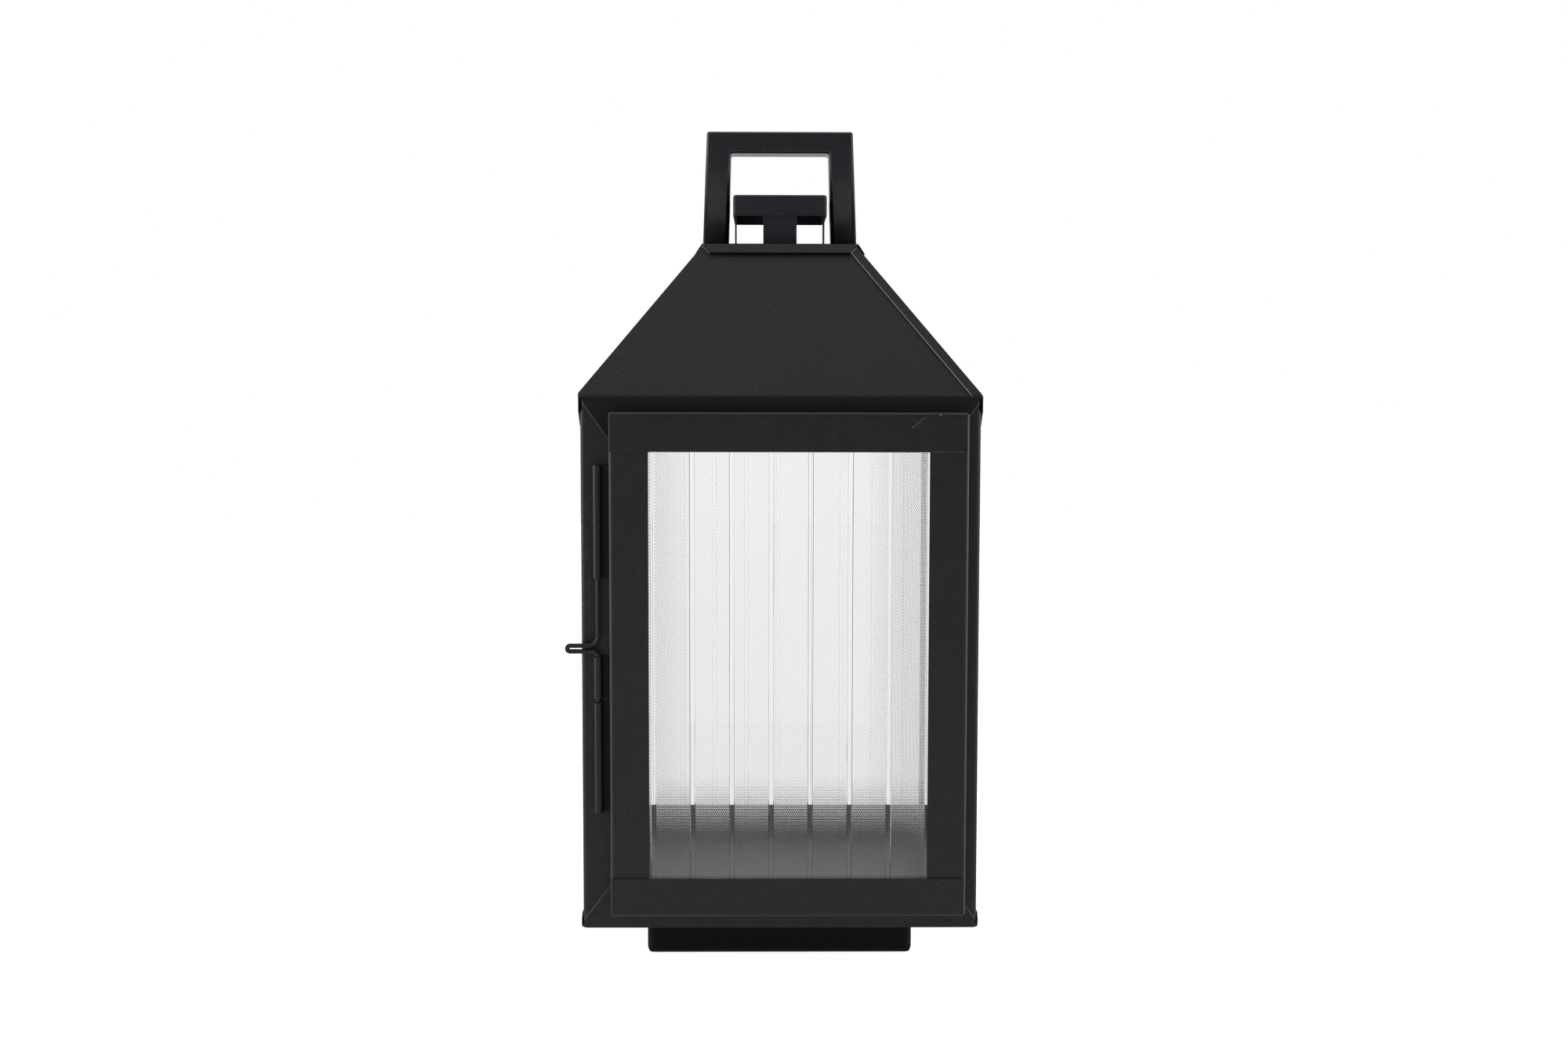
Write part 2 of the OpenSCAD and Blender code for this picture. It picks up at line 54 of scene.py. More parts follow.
camera = bpy.data.objects.new("camera", bpy.data.cameras.new("camera"))
bpy.context.scene.collection.objects.link(camera)
camera.data.sensor_width = 36
camera.data.lens = 39.12
camera.data.clip_start = 0.02
camera.location = CAMERA_AT
ahead = Euler((pi / 2 - LOOKS_DOWN, 0, TURNS)).to_matrix()
camera.rotation_euler = (ahead @ Matrix.Rotation(LEANS, 3, "Z")).to_euler()
bpy.context.scene.camera = camera


# ---- Shader building ----


class Shader:
    """The nodes of a material or a world, and short ways to add to them. Inputs take values or sockets."""

    def __init__(self, owner, output="ShaderNodeOutputMaterial"):
        self.owner = owner
        owner.use_nodes = True
        self.tree = owner.node_tree
        self.tree.nodes.clear()
        self.output = self.add(output)

    def add(self, kind, inputs=None, **settings):
        node = self.tree.nodes.new(kind)
        for name, value in settings.items():
            setattr(node, name, value)
        for name, value in (inputs or {}).items():
            self.put(node.inputs[name], value)
        return node

    def put(self, socket, value):
        if isinstance(value, bpy.types.NodeSocket):
            self.tree.links.new(value, socket)
        else:
            socket.default_value = value

    def math(self, operation, a, b=0.0, c=0.0):
        return self.add("ShaderNodeMath", {0: a, 1: b, 2: c}, operation=operation).outputs[0]

    def vector(self, operation, a, b=(0, 0, 0), c=(0, 0, 0)):
        node = self.add("ShaderNodeVectorMath", {0: a, 1: b, 2: c}, operation=operation)
        return node.outputs["Value" if operation in ("LENGTH", "DOT_PRODUCT") else "Vector"]

    def noise(self, place, scale, detail=3.0, roughness=0.5):
        node = self.add(
            "ShaderNodeTexNoise",
            {"Vector": place, "Scale": scale, "Detail": detail, "Roughness": roughness},
        )
        return node.outputs["Fac"]

    def span(self, value, from_low, from_high, to_low=0.0, to_high=1.0):
        """value carried from one range to another, and held at its ends."""
        inputs = {
            "Value": value,
            "From Min": from_low,
            "From Max": from_high,
            "To Min": to_low,
            "To Max": to_high,
        }
        return self.add("ShaderNodeMapRange", inputs).outputs["Result"]

    def split(self, place):
        return self.add("ShaderNodeSeparateXYZ", {0: place}).outputs

    def mix_colour(self, share, a, b):
        node = self.add("ShaderNodeMix", data_type="RGBA")
        self.put(node.inputs[0], share)
        self.put(node.inputs[6], a)
        self.put(node.inputs[7], b)
        return node.outputs[2]

    def finish(self, surface):
        self.put(self.output.inputs["Surface"], surface)
        return self.owner


# ---- Black coatings ----


def specks(s, place, scale, radius, share):
    """Small round spots, one in some of the cells of a grid: 1 inside a spot."""
    cells = s.add("ShaderNodeTexVoronoi", {"Vector": place, "Scale": scale, "Randomness": 1.0})
    draw = s.add("ShaderNodeSeparateColor", {"Color": cells.outputs["Color"]}).outputs[0]
    chosen = s.math("LESS_THAN", draw, share)
    inside = s.span(cells.outputs["Distance"], radius * scale, 0.55 * radius * scale)
    return s.math("MULTIPLY", chosen, inside)


DUST = (0.62, 0.6, 0.58, 1)
# Light grey of worn spots, used also for painted highlights
WEAR_AND_HIGHLIGHT = (0.5, 0.49, 0.5, 1)
# Near black of painted shade
SHADED = (0.001, 0.0009, 0.001, 1)
FILM_ROUGHNESS = 0.22


def coating(name, colour, roughness, grain=1.0, dust=1.0, shine=0.5, gloss=0.0, marks=(), shade_by=None):
    """Powder coat: fine leathery grain, slow change of tone, and a little dust.

    shine is the strength of its reflection, and gloss that of a smooth film over it. marks are functions
    that give the places of wear and of painted highlights, each with its strength, and shade_by is a
    function that gives the places where shade is painted into its colour."""
    s = Shader(bpy.data.materials.new(name))
    place = s.add("ShaderNodeTexCoord").outputs["Object"]
    fine = s.noise(place, 2600, 2.0)
    peel = s.noise(place, 620, 3.0)
    tone = s.noise(place, 24, 4.0, 0.6)
    cloud = s.noise(place, 160, 4.0, 0.65)
    mottle = s.noise(place, 900, 2.0)

    dark = tuple(0.35 * c for c in colour) + (1,)
    light = tuple(1.65 * c for c in colour) + (1,)
    shade = 0.0
    for pattern, weight in ((tone, 0.25), (cloud, 0.35), (mottle, 0.4)):
        shade = s.math("MULTIPLY_ADD", s.span(pattern, 0.3, 0.7), weight, shade)
    base = s.mix_colour(shade, dark, light)
    large = specks(s, place, 260, 0.25 * MM, 0.4)
    small = s.math("MULTIPLY", specks(s, place, 430, 0.23 * MM, 0.7), 0.4)
    dusty = s.math("MULTIPLY", s.math("MAXIMUM", large, small), 0.2 * dust)
    base = s.mix_colour(dusty, base, DUST)
    rough = s.math("MULTIPLY_ADD", s.span(cloud, 0.25, 0.75), 0.1, roughness - 0.05)
    if shade_by:
        painted_shade = shade_by(s, place)
        # Painted shade: the base colour is darkened towards near black
        base = s.mix_colour(painted_shade, base, SHADED)
        rough = s.math("MULTIPLY_ADD", painted_shade, 0.3, rough)
    # Worn spots and painted highlights, mixed in with their strengths
    for mark, strength in marks:
        base = s.mix_colour(s.math("MULTIPLY", mark(s, place), strength), base, WEAR_AND_HIGHLIGHT)

    height = s.math("MULTIPLY_ADD", fine, 0.35, s.math("MULTIPLY", peel, 0.65))
    bump = s.add("ShaderNodeBump", {"Strength": 0.8 * grain, "Distance": 0.3 * MM, "Height": height})
    surface = s.add(
        "ShaderNodeBsdfPrincipled",
        {
            "Base Color": base,
            "Roughness": rough,
            "Specular IOR Level": shine,
            "Normal": bump.outputs["Normal"],
            "Coat Weight": gloss,
            "Coat Roughness": FILM_ROUGHNESS,
        },
    )
    return s.finish(surface.outputs["BSDF"])


def near(s, value, at, half_width):
    """1 where value is within half_width of at, with a soft edge."""
    off = s.math("ABSOLUTE", s.math("SUBTRACT", value, at))
    return s.span(off, 1.3 * half_width, 0.7 * half_width)


def stroke(s, x, z, start, end, half_width):
    """1 along a line between two points of the plane that x and z measure."""
    run = Vector(end) - Vector(start)
    length = run.length
    along = run / length
    dx = s.math("SUBTRACT", x, start[0])
    dz = s.math("SUBTRACT", z, start[1])
    at = s.math("MULTIPLY_ADD", dx, along.x, s.math("MULTIPLY", dz, along.y))
    aside = s.math("MULTIPLY_ADD", dx, along.y, s.math("MULTIPLY", dz, -along.x))
    past = s.math("SUBTRACT", at, s.add("ShaderNodeClamp", {"Value": at, "Max": length}).outputs[0])
    off = s.math("SQRT", s.math("MULTIPLY_ADD", past, past, s.math("MULTIPLY", aside, aside)))
    return s.span(off, 1.3 * half_width, 0.7 * half_width)


def door_scratches_and_highlight(s, place):
    """A scratch and two chips in the top rail of the door, and a painted highlight along its edge over the
    right stile.
    """
    lo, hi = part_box("door_top_rail")
    x, y, z = s.split(place)
    # Each has its ends, in shares of the rail's width and height, and half its width in millimetres
    spots = (
        ((0.852, 0.67), (0.878, 0.86), 0.11),
        ((0.846, 0.63), (0.848, 0.635), 0.24),
        ((0.921, 0.935), (0.927, 0.935), 0.24),
        # A painted highlight along the rail's lower edge over the right stile
        ((0.9, 0.01), (0.99, 0.0), 0.07),
    )
    total = 0.0
    for start, end, half_width in spots:
        ends = [(lo.x + u * (hi.x - lo.x), lo.z + v * (hi.z - lo.z)) for u, v in (start, end)]
        total = s.math("MAXIMUM", total, stroke(s, x, z, *ends, half_width * MM))
    return total


def mitre_highlights(s, place):
    """Painted highlights along the edges where the corner posts meet the sheets above and below them."""
    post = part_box("corner_post_front_right")
    sheet_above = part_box("roof_panel_front")[0].z
    sheet_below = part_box("bottom_rail_front")[1].z
    x, y, z = s.split(place)
    total = 0.0
    for side in (-1, 1):
        for z_out, z_in in ((post[1].z, sheet_above), (post[0].z, sheet_below)):
            ends = ((side * post[1].x, z_out), (side * post[0].x, z_in))
            total = s.math("MAXIMUM", total, stroke(s, x, z, *ends, 0.13 * MM))
    in_front = s.math("LESS_THAN", y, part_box("bottom_rail_front")[1].y)
    return s.math("MULTIPLY", total, in_front)


# The roof's slope, its edge at the eave, and the width of the lap along each hip
ROOF_ANGLE = radians(52.53)
EAVE_OUT = 84.5 * MM
EAVE_Z = 246.8 * MM
HIP_LAP = 3.9 * MM
# A point lies on a roof panel's outer face where SLOPE_OUT * out + SLOPE_UP * z is SLOPE_AT
SLOPE_OUT = sin(ROOF_ANGLE)
SLOPE_UP = cos(ROOF_ANGLE)
SLOPE_AT = SLOPE_OUT * EAVE_OUT + SLOPE_UP * EAVE_Z


def hip_lap_highlights(s, place):
    """Painted highlights along the cut edges of the laps on the roof's hips."""
    x, y, z = s.split(place)
    back = s.math("MULTIPLY", y, -1)
    left = s.math("MULTIPLY", x, -1)
    rise = s.math("MULTIPLY_ADD", z, SLOPE_UP, -SLOPE_AT)
    total = 0.0
    for out, lapped in ((x, back), (y, x), (left, y), (back, left)):
        # Distances out of the roof plane that the lap is folded from, and of the one that it lies on
        from_own = s.math("MULTIPLY_ADD", out, SLOPE_OUT, rise)
        from_other = s.math("MULTIPLY_ADD", lapped, SLOPE_OUT, rise)
        cut = near(s, from_own, -HIP_LAP, 0.23 * MM)
        outside = near(s, from_other, 1.0 * MM, 0.75 * MM)
        total = s.math("MAXIMUM", total, s.math("MULTIPLY", cut, outside))
    below_plate = s.math("LESS_THAN", z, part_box("roof_top_plate")[0].z)
    return s.math("MULTIPLY", total, below_plate)


def plate_mitre_highlights(s, place):
    """Painted highlights on the corners of the top plate's folded edges."""
    lo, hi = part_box("roof_top_plate")
    x, y, z = s.split(place)
    fold = hi.z - lo.z
    corner = hi.x - fold / tan(ROOF_ANGLE) + 0.9 * MM
    total = 0.0
    for across, other in ((x, y), (y, x)):
        outer = s.math("GREATER_THAN", s.math("ABSOLUTE", other), corner - 1.8 * MM)
        for side in (-1, 1):
            ends = ((side * corner, hi.z), (side * (corner - fold), lo.z))
            line = s.math("MULTIPLY", outer, stroke(s, across, z, *ends, 0.2 * MM))
            total = s.math("MAXIMUM", total, line)
    return total


def door_fold_highlights(s, place):
    """Painted highlights along the door's outer folds."""
    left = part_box("door_stile_left")[0].x
    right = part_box("door_stile_right")[1].x
    low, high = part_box("door_bottom_rail")[0].z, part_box("door_top_rail")[1].z
    x, y, z = s.split(place)
    left_fold = near(s, x, left + 0.4 * MM, 0.3 * MM)
    right_fold = near(s, x, right - 0.4 * MM, 0.3 * MM)
    low_fold = near(s, z, low + 0.35 * MM, 0.25 * MM)
    high_fold = near(s, z, high - 0.3 * MM, 0.2 * MM)
    sides = s.math("MAXIMUM", left_fold, right_fold)
    ends = s.math("MAXIMUM", low_fold, high_fold)
    in_front = s.math("LESS_THAN", y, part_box("door_stile_left")[0].y + 1.6 * MM)
    return s.math("MULTIPLY", s.math("MAXIMUM", s.math("MULTIPLY", sides, 1.6), ends), in_front)


def handle_glints(s, place):
    """Painted glints: small bright specks along the outer edges of the handle."""
    x = s.math("ABSOLUTE", s.split(place)[0])
    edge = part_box("handle")[1].x
    outer = s.span(x, edge - 3.4 * MM, edge - 1.4 * MM)
    return s.math("MULTIPLY", specks(s, place, 500, 0.2 * MM, 0.8), outer)


def post_wear(s, place):
    """Rubbed spots down the outer edge of the latch side's post."""
    lo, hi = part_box("corner_post_front_left")
    x, y, z = s.split(place)
    tall = hi.z - lo.z

    def spot(in_from_edge, half_width, height, half_height):
        across = near(s, x, lo.x + in_from_edge, half_width)
        return s.math("MULTIPLY", across, near(s, z, lo.z + height, half_height))

    patch = spot(1.4 * MM, 2.2 * MM, 0.7 * tall, 0.1 * tall)
    top = spot(4.5 * MM, 1.6 * MM, 0.89 * tall, 2.2 * MM)
    grit = s.span(s.noise(place, 1500, 2.0, 0.7), 0.56, 0.72)
    wide = s.span(s.noise(place, 170, 2.0), 0.42, 0.6)
    chips = specks(s, place, 420, 0.3 * MM, 0.4)
    rubbed = s.math("MULTIPLY", s.math("MULTIPLY", grit, wide), patch)
    chipped = s.math("MULTIPLY", chips, s.math("MAXIMUM", top, patch))
    return s.math("MAXIMUM", rubbed, chipped)


def painted_shade_behind_barrel(s, place):
    """Painted shade on the latch's leaves, deep beside the door."""
    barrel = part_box("latch_guide_upper")
    axis = (barrel[0].y + barrel[1].y) / 2
    return s.span(s.split(place)[1], axis - 0.6 * MM, axis + 0.3 * MM)


def painted_shade_below_eave(s, place):
    """Painted shade on the aprons below the eave."""
    return s.span(s.split(place)[2], EAVE_Z + 0.5 * MM, EAVE_Z - 1.2 * MM)


BLACK = (0.0101, 0.0088, 0.0101)
# The mitres carry painted highlights; the post's rubbed spots are wear
coat = coating("black_powder_coat", BLACK, 0.46, marks=[(mitre_highlights, 0.35), (post_wear, 0.4)])
# Painted glints along the handle's edges
coat_handle = coating(
    "black_powder_coat_handle", (0.0080, 0.0060, 0.0096), 0.4, gloss=0.45, marks=[(handle_glints, 0.5)]
)
coat_cap = coating("black_powder_coat_cap", (0.0165, 0.0135, 0.0205), 0.42)
# Painted highlights along the door's folds and the rail's edge, besides its scratches and chips
coat_door = coating(
    "black_powder_coat_door", BLACK, 0.46, marks=[(door_fold_highlights, 0.07), (door_scratches_and_highlight, 0.3)]
)
# Painted highlights on the mitres, hip laps and plate corners, and painted shade below the eave
coat_roof = coating(
    "black_powder_coat_roof",
    (0.0112, 0.0100, 0.0112),
    0.5,
    marks=[(mitre_highlights, 0.4), (hip_lap_highlights, 1.0), (plate_mitre_highlights, 0.8)],
    shade_by=painted_shade_below_eave,
)
coat_foot = coating("black_powder_coat_foot", (0.003, 0.0027, 0.003), 0.55, dust=0.5, shine=0.2)
# Painted shade on the latch's leaves beside the barrels
coat_hardware = coating(
    "satin_black_hardware", (0.0095, 0.0086, 0.0098), 0.4, grain=0.6, dust=0.5, shade_by=painted_shade_behind_barrel
)
coat_clips = coating("matt_black_clips", (0.013, 0.0125, 0.013), 0.5, grain=0.6, dust=0.3)


def soften(obj, width, segments=2):
    """Rounds the sharp edges of a CAD node a little, as the coating does."""
    weld = obj.modifiers.new("weld", "WELD")
    weld.merge_threshold = 2e-6
    flat = obj.modifiers.new("flat_faces", "DECIMATE")
    flat.decimate_type = "DISSOLVE"
    flat.angle_limit = radians(0.4)
    bevel = obj.modifiers.new("edges", "BEVEL")
    bevel.width = width
    bevel.segments = segments
    bevel.limit_method = "ANGLE"
    bevel.angle_limit = radians(28)
    bevel.use_clamp_overlap = True
    normals = obj.modifiers.new("normals", "WEIGHTED_NORMAL")
    normals.keep_sharp = False


def material_of(name):
    if name == "vent_cap" or name.startswith("cap_leg"):
        return coat_cap
    if name.startswith("roof"):
        return coat_roof
    if name == "foot_pan":
        return coat_foot
    if "clips" in name:
        return coat_clips
    if name.startswith(("latch", "hinge")):
        return coat_hardware
    if name.startswith("door"):
        return coat_door
    return coat


for name, obj in nodes.items():
    if "glass" in name and "clips" not in name:
        continue
    obj.data.materials.clear()
    obj.data.materials.append(material_of(name))
    if name != "latch_bolt":
        soften(obj, 0.16 * MM)


# ---- Patterned glass ----

# The small lenses, in millimetres: distance along a row and between rows, radius, slope at the rim, and
# how many times steeper the slope is across the pane than up it
DOT_PITCH = 0.83
DOT_ROW = 0.72
DOT_R = 0.36
DOT_SLOPE = 0.18
DOT_STRETCH = 1.95
# The plain strips, in millimetres: distance apart and half the width of the flat middle
STRIP_PITCH = 16.49
STRIP_HALF = 0.85
# Profile of a strip's edge: distance beyond the flat middle and depth below the dots
STRIP_EDGE = ((0.0, 0.22), (0.07, 0.14), (0.2, 0.05), (0.32, 0.0))
# The least distance from a strip's middle to the pane's edge
STRIP_ROOM = 2
# The thin line of painted shade along a strip's edge: how far its middle is from the flat, and half its
# width
BORDER_OUT = 0.1
BORDER_HALF = 0.06
# How much the ground bevel at a pane's edge drops for each millimetre of its width
GROUND_DROP = 0.14
# The door's pane: where one of its strips is, and the width of its ground bevel
DOOR_STRIP_AT = -53.4
DOOR_GROUND = 6.2

GLASS_IOR = 1.5
GLASS_COLOUR = (0.985, 0.99, 0.988, 1)
# Painted shade for the ground round the lenses and for the lines along the strips' edges
RIM_SHADE = (0.55, 0.57, 0.57, 1)
BORDER_SHADE = (0.2, 0.22, 0.22, 1)


def let_light_in(s, glass):
    """Finishes a material so that lamps shine through its glass."""
    clear = s.add("ShaderNodeBsdfTransparent", {"Color": (0.9, 0.92, 0.91, 1)})
    shadow = s.add("ShaderNodeLightPath").outputs["Is Shadow Ray"]
    mixed = s.add("ShaderNodeMixShader", {0: shadow, 1: glass, 2: clear.outputs[0]})
    return s.finish(mixed.outputs[0])


def plain_glass():
    """Smooth glass with a faint wave in it."""
    s = Shader(bpy.data.materials.new("clear_glass"))
    swell = s.noise(s.add("ShaderNodeTexCoord").outputs["Object"], 60, 1.0)
    wave = s.add("ShaderNodeBump", {"Strength": 0.04, "Distance": 0.5 * MM, "Height": swell})
    glass = s.add(
        "ShaderNodeBsdfGlass",
        {"Color": GLASS_COLOUR, "Roughness": 0.0, "IOR": GLASS_IOR, "Normal": wave.outputs["Normal"]},
    )
    return let_light_in(s, glass.outputs[0])


def dotted_glass():
    """Rows of small round lenses in panels between plain strips.

    The UV map holds millimetres across and up the pane."""
    s = Shader(bpy.data.materials.new("dotted_glass"))
    uv = s.add("ShaderNodeTexCoord").outputs["UV"]
    # A cell is one pitch wide and two rows high. The lenses stand at its middle and at its corners
    half_cell = (DOT_PITCH / 2, DOT_ROW, 1.0)
    back_cell = tuple(-c for c in half_cell)
    first = s.vector("WRAP", uv, half_cell, back_cell)
    shifted = s.vector("ADD", uv, (DOT_PITCH / 2, DOT_ROW, 0))
    second = s.vector("WRAP", shifted, half_cell, back_cell)
    first_d = s.vector("LENGTH", first)
    second_d = s.vector("LENGTH", second)
    nearer = s.math("LESS_THAN", second_d, first_d)
    away = s.add("ShaderNodeMix", data_type="VECTOR")
    s.put(away.inputs[0], nearer)
    s.put(away.inputs[4], first)
    s.put(away.inputs[5], second)
    distance = s.math("MINIMUM", first_d, second_d)
    inside = s.math("LESS_THAN", distance, DOT_R)

    across = s.split(uv)[0]
    from_strip = s.math("ABSOLUTE", s.math("WRAP", across, STRIP_PITCH / 2, -STRIP_PITCH / 2))
    in_panel = s.math("GREATER_THAN", from_strip, STRIP_HALF + STRIP_EDGE[-1][0] + 0.02)
    lens = s.math("MULTIPLY", inside, in_panel)

    slope = s.add("ShaderNodeVectorMath", {0: away.outputs[1]}, operation="SCALE")
    s.put(slope.inputs["Scale"], s.math("MULTIPLY", lens, DOT_SLOPE / DOT_R))
    tilted = s.vector("MULTIPLY_ADD", slope.outputs["Vector"], (DOT_STRETCH, 1, 0), (0, 0, 1))
    half = (0.5, 0.5, 0.5)
    colour = s.vector("MULTIPLY_ADD", s.vector("NORMALIZE", tilted), half, half)
    normal = s.add("ShaderNodeNormalMap", {"Color": colour}, space="TANGENT", uv_map="relief")

    rim = s.math("MULTIPLY", s.math("GREATER_THAN", distance, DOT_R * 0.97), in_panel)
    from_border = s.math("ABSOLUTE", s.math("SUBTRACT", from_strip, STRIP_HALF + BORDER_OUT))
    border = s.math("LESS_THAN", from_border, BORDER_HALF)
    # Painted shade: the ground round the lenses and the line along each strip's edge are tinted darker,
    # standing in for dark parts the glass bends into view
    glass_colour_and_shade = s.mix_colour(s.math("MULTIPLY", rim, 0.1), GLASS_COLOUR, RIM_SHADE)
    glass_colour_and_shade = s.mix_colour(s.math("MULTIPLY", border, 0.7), glass_colour_and_shade, BORDER_SHADE)
    glass = s.add(
        "ShaderNodeBsdfGlass",
        {"Color": glass_colour_and_shade, "Roughness": 0.0, "IOR": GLASS_IOR, "Normal": normal.outputs["Normal"]},
    )
    return let_light_in(s, glass.outputs[0])


clear = plain_glass()
dotted = dotted_glass()


def new_piece(name, verts, faces):
    mesh = bpy.data.meshes.new(name)
    mesh.from_pydata(verts, [], faces)
    obj = bpy.data.objects.new(name, mesh)
    bpy.context.scene.collection.objects.link(obj)
    return obj


def pane(name, node, quarter, strip_at, body, ground=0.0):
    """A pane in the box of its CAD node, with the relief on its outer face.

    quarter turns it from the front, strip_at is where one of its plain strips is, and ground is the width
    of the bevel ground along its right edge. Widths and places are in millimetres."""
    turn = Matrix.Rotation(quarter * pi / 2, 3, "Z")
    corners = [turn.inverted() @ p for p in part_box(node)]
    lo = Vector(map(min, *corners))
    hi = Vector(map(max, *corners))
    x0, x1 = lo.x / MM, hi.x / MM
    y_out, y_in = lo.y / MM, hi.y / MM
    z0, z1 = lo.z / MM, hi.z / MM

    line = [(x0, y_out)]
    k = int((x0 - strip_at) / STRIP_PITCH) - 1
    while strip_at + k * STRIP_PITCH < x1:
        at = strip_at + k * STRIP_PITCH
        if at - STRIP_ROOM > x0 and at + STRIP_ROOM < x1 - ground:
            line += [(at - STRIP_HALF - out, y_out + depth) for out, depth in reversed(STRIP_EDGE)]
            line += [(at + STRIP_HALF + out, y_out + depth) for out, depth in STRIP_EDGE]
        k += 1
    if ground:
        line.append((x1 - ground, y_out))
    line.append((x1, y_out + GROUND_DROP * ground))
    ring = line + [(x1, y_in), (x0, y_in)]

    verts = [turn @ (Vector((x, y, z)) * MM) for z in (z0, z1) for x, y in ring]
    count = len(ring)
    faces = [(i, (i + 1) % count, count + (i + 1) % count, count + i) for i in range(count)]
    faces += [tuple(reversed(range(count))), tuple(range(count, 2 * count))]
    obj = new_piece(name, verts, faces)
    mesh = obj.data
    relief = mesh.uv_layers.new(name="relief")
    for face in mesh.polygons:
        face.material_index = 0 if face.index < len(line) - 1 else 1
        for corner in face.loop_indices:
            at = mesh.loops[corner].vertex_index
            x = ring[at % count][0]
            relief.data[corner].uv = (x - strip_at, z1 if at >= count else z0)
    mesh.materials.append(dotted)
    mesh.materials.append(clear)
    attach(obj, body)
    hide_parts(node)


pane("patterned_pane_door", "door_glass", 0, DOOR_STRIP_AT, "door", ground=DOOR_GROUND)
pane("patterned_pane_right", "glass_right", 1, 0, "housing")
pane("patterned_pane_back", "glass_back", 2, 0, "housing")
pane("patterned_pane_left", "glass_left", 3, 0, "housing")


# ---- Handle: one bent bar with rounded edges ----


def corner_arc(foot, corner, radius, steps):
    """Points round the corner of a line that leans up from foot and then runs level, to the left."""
    lean = atan2(foot.x - corner.x, corner.y - foot.y)
    turn = pi / 2 - lean
    centre = Vector((corner.x - radius * tan(turn / 2), corner.y - radius))
    return [
        centre + Vector((cos(lean + turn * i / steps), sin(lean + turn * i / steps))) * radius
        for i in range(steps + 1)
    ]


# Half the width across the handle's top, the widths of its feet and legs, and the height of its bar
HANDLE_TOP = 33.5 * MM
FOOT_W = 11.9 * MM
BAR_W = 11.1 * MM
BAR_H = 9.9 * MM
# Radii of the loop's corners, outside and inside, and of the bar's own long edges
OUTER_R = 1.3 * MM
INNER_R = 1.1 * MM
EDGE_R = 1.9 * MM
CORNER_STEPS = 8
EDGE_STEPS = 6


def handle_section(outer, inner, half_depth):
    """The bar's rounded outline between an outer and an inner point in XZ."""
    across = (inner - outer).normalized()
    near_centre = EDGE_R
    far_centre = (inner - outer).length - EDGE_R
    side = half_depth - EDGE_R
    corners = (
        (near_centre, side, pi / 2),
        (near_centre, -side, pi),
        (far_centre, -side, 3 * pi / 2),
        (far_centre, side, 0),
    )
    points = []
    for cx, cy, start in corners:
        for step in range(EDGE_STEPS + 1):
            a = start + (pi / 2) * step / EDGE_STEPS
            p = outer + across * (cx + EDGE_R * cos(a))
            points.append((p.x, cy + EDGE_R * sin(a), p.y))
    return points


def handle_bar():
    lo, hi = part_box("handle")
    outer_foot = Vector((hi.x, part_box("roof_top_plate")[1].z))
    inner_foot = outer_foot - Vector((FOOT_W, 0))
    outer_top = Vector((HANDLE_TOP, hi.z))
    inner_top = outer_top - Vector((BAR_W, BAR_H))
    # Stations from the right foot over the top to the left foot, each an outer and an inner point in XZ
    outer = corner_arc(outer_foot, outer_top, OUTER_R, CORNER_STEPS)
    inner = corner_arc(inner_foot, inner_top, INNER_R, CORNER_STEPS)
    stations = [(outer_foot, inner_foot)] + list(zip(outer, inner))
    stations += [(Vector((-o.x, o.y)), Vector((-i.x, i.y))) for o, i in reversed(stations)]

    verts = []
    for outer_point, inner_point in stations:
        verts += handle_section(outer_point, inner_point, (hi.y - lo.y) / 2)
    ring = 4 * (EDGE_STEPS + 1)
    faces = []
    for k in range(len(stations) - 1):
        for j in range(ring):
            n = (j + 1) % ring
            faces.append((k * ring + j, k * ring + n, (k + 1) * ring + n, (k + 1) * ring + j))
    faces.append(tuple(reversed(range(ring))))
    faces.append(tuple((len(stations) - 1) * ring + j for j in range(ring)))
    obj = new_piece("handle_bar", verts, faces)
    mesh = obj.data
    for face in mesh.polygons:
        face.use_smooth = len(face.vertices) == 4
    mesh.materials.append(coat_handle)
    mesh.validate()
    normals = obj.modifiers.new("normals", "WEIGHTED_NORMAL")
    normals.keep_sharp = False
    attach(obj, "housing")
    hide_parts("handle")


handle_bar()


# ---- Floor, studio and lamps ----

WHITE = (1, 1, 1, 1)
FLOOR_HALF = 2.5


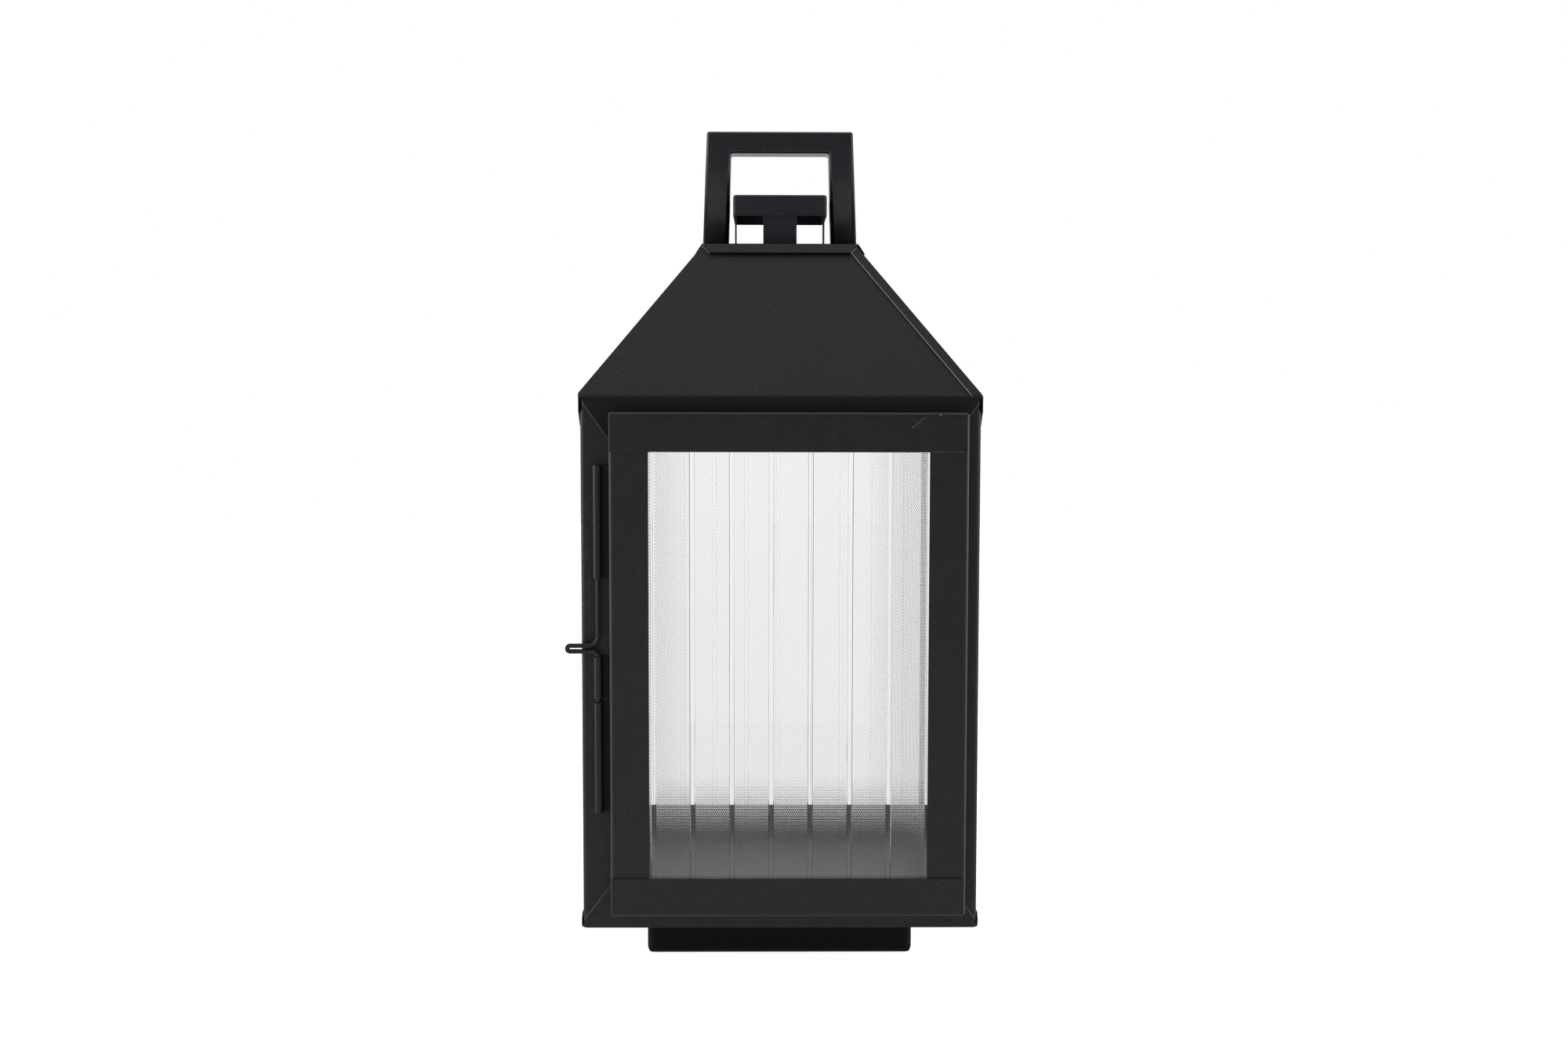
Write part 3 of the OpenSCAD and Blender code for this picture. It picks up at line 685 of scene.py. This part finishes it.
def floor():
    """Near white to the eye, white through the glass, and a dim grey in reflections and bounced light."""
    s = Shader(bpy.data.materials.new("pale_floor"))
    tone = s.noise(s.add("ShaderNodeTexCoord").outputs["Object"], 3, 2.0)
    shade = s.mix_colour(tone, (0.78, 0.78, 0.785, 1), (0.82, 0.82, 0.82, 1))
    paper = s.add("ShaderNodeBsdfDiffuse", {"Color": shade})
    glow = s.add("ShaderNodeEmission", {"Color": WHITE, "Strength": 0.92})
    lit = s.add("ShaderNodeAddShader", {0: paper.outputs[0], 1: glow.outputs[0]})
    grey = s.add("ShaderNodeBsdfDiffuse", {"Color": (0.5, 0.5, 0.5, 1)})
    faint = s.add("ShaderNodeEmission", {"Color": (1, 0.985, 1, 1), "Strength": 0.3})
    dim = s.add("ShaderNodeAddShader", {0: grey.outputs[0], 1: faint.outputs[0]})
    white = s.add("ShaderNodeEmission", {"Color": WHITE, "Strength": 0.93})
    ray = s.add("ShaderNodeLightPath").outputs
    surface = s.add("ShaderNodeMixShader", {0: ray["Is Camera Ray"], 1: dim.outputs[0], 2: lit.outputs[0]})
    through = {0: ray["Is Transmission Ray"], 1: surface.outputs[0], 2: white.outputs[0]}
    surface = s.add("ShaderNodeMixShader", through)

    r = FLOOR_HALF
    obj = new_piece("floor", [(-r, -r, 0), (r, -r, 0), (r, r, 0), (-r, r, 0)], [(0, 1, 2, 3)])
    obj.data.materials.append(s.finish(surface.outputs[0]))


def studio():
    """White to the eye and through the glass. Reflections see a dimmer room with a white wall behind."""
    world = bpy.data.worlds.new("studio")
    bpy.context.scene.world = world
    s = Shader(world, "ShaderNodeOutputWorld")
    x, y, z = s.split(s.add("ShaderNodeTexCoord").outputs["Generated"])
    ramp = s.add("ShaderNodeValToRGB", {"Fac": s.span(y, -1, 1)})
    stops = ramp.color_ramp.elements
    stops[0].position, stops[0].color = 0.0, (0.15, 0.138, 0.165, 1)
    stops[1].position, stops[1].color = 1.0, WHITE
    middle = stops.new(0.45)
    middle.color = (0.42, 0.4, 0.43, 1)
    left_to_right = s.span(x, -1, 1, 1.2, 0.8)
    room = s.add("ShaderNodeBackground", {"Color": ramp.outputs["Color"], "Strength": left_to_right})
    white = s.add("ShaderNodeBackground", {"Color": WHITE})
    ray = s.add("ShaderNodeLightPath").outputs
    seen = s.math("MAXIMUM", ray["Is Camera Ray"], ray["Is Transmission Ray"])
    surface = s.add("ShaderNodeMixShader", {0: seen, 1: room.outputs[0], 2: white.outputs[0]})
    s.finish(surface.outputs[0])


AIM = (0, 0, 0.2)


def softbox(name, place, size, power):
    """A square lamp that faces the lantern's middle."""
    data = bpy.data.lights.new(name, "AREA")
    data.shape = "SQUARE"
    data.size = size
    data.energy = power
    lamp = bpy.data.objects.new(name, data)
    lamp.location = place
    lamp.rotation_euler = (Vector(AIM) - Vector(place)).to_track_quat("-Z", "Y").to_euler()
    lamp.visible_camera = False
    lamp.visible_transmission = False
    bpy.context.scene.collection.objects.link(lamp)


floor()
studio()
softbox("key", (-1.0, -1.5, 1.3), 1.1, 3.0)
softbox("left", (-1.6, -0.1, 0.5), 1.2, 10)
softbox("right", (1.6, -0.1, 0.5), 1.2, 8)
softbox("top", (0.0, 0.0, 1.9), 1.2, 1.5)

bpy.context.scene.view_settings.view_transform = "Standard"
bpy.context.scene.view_settings.look = "None"
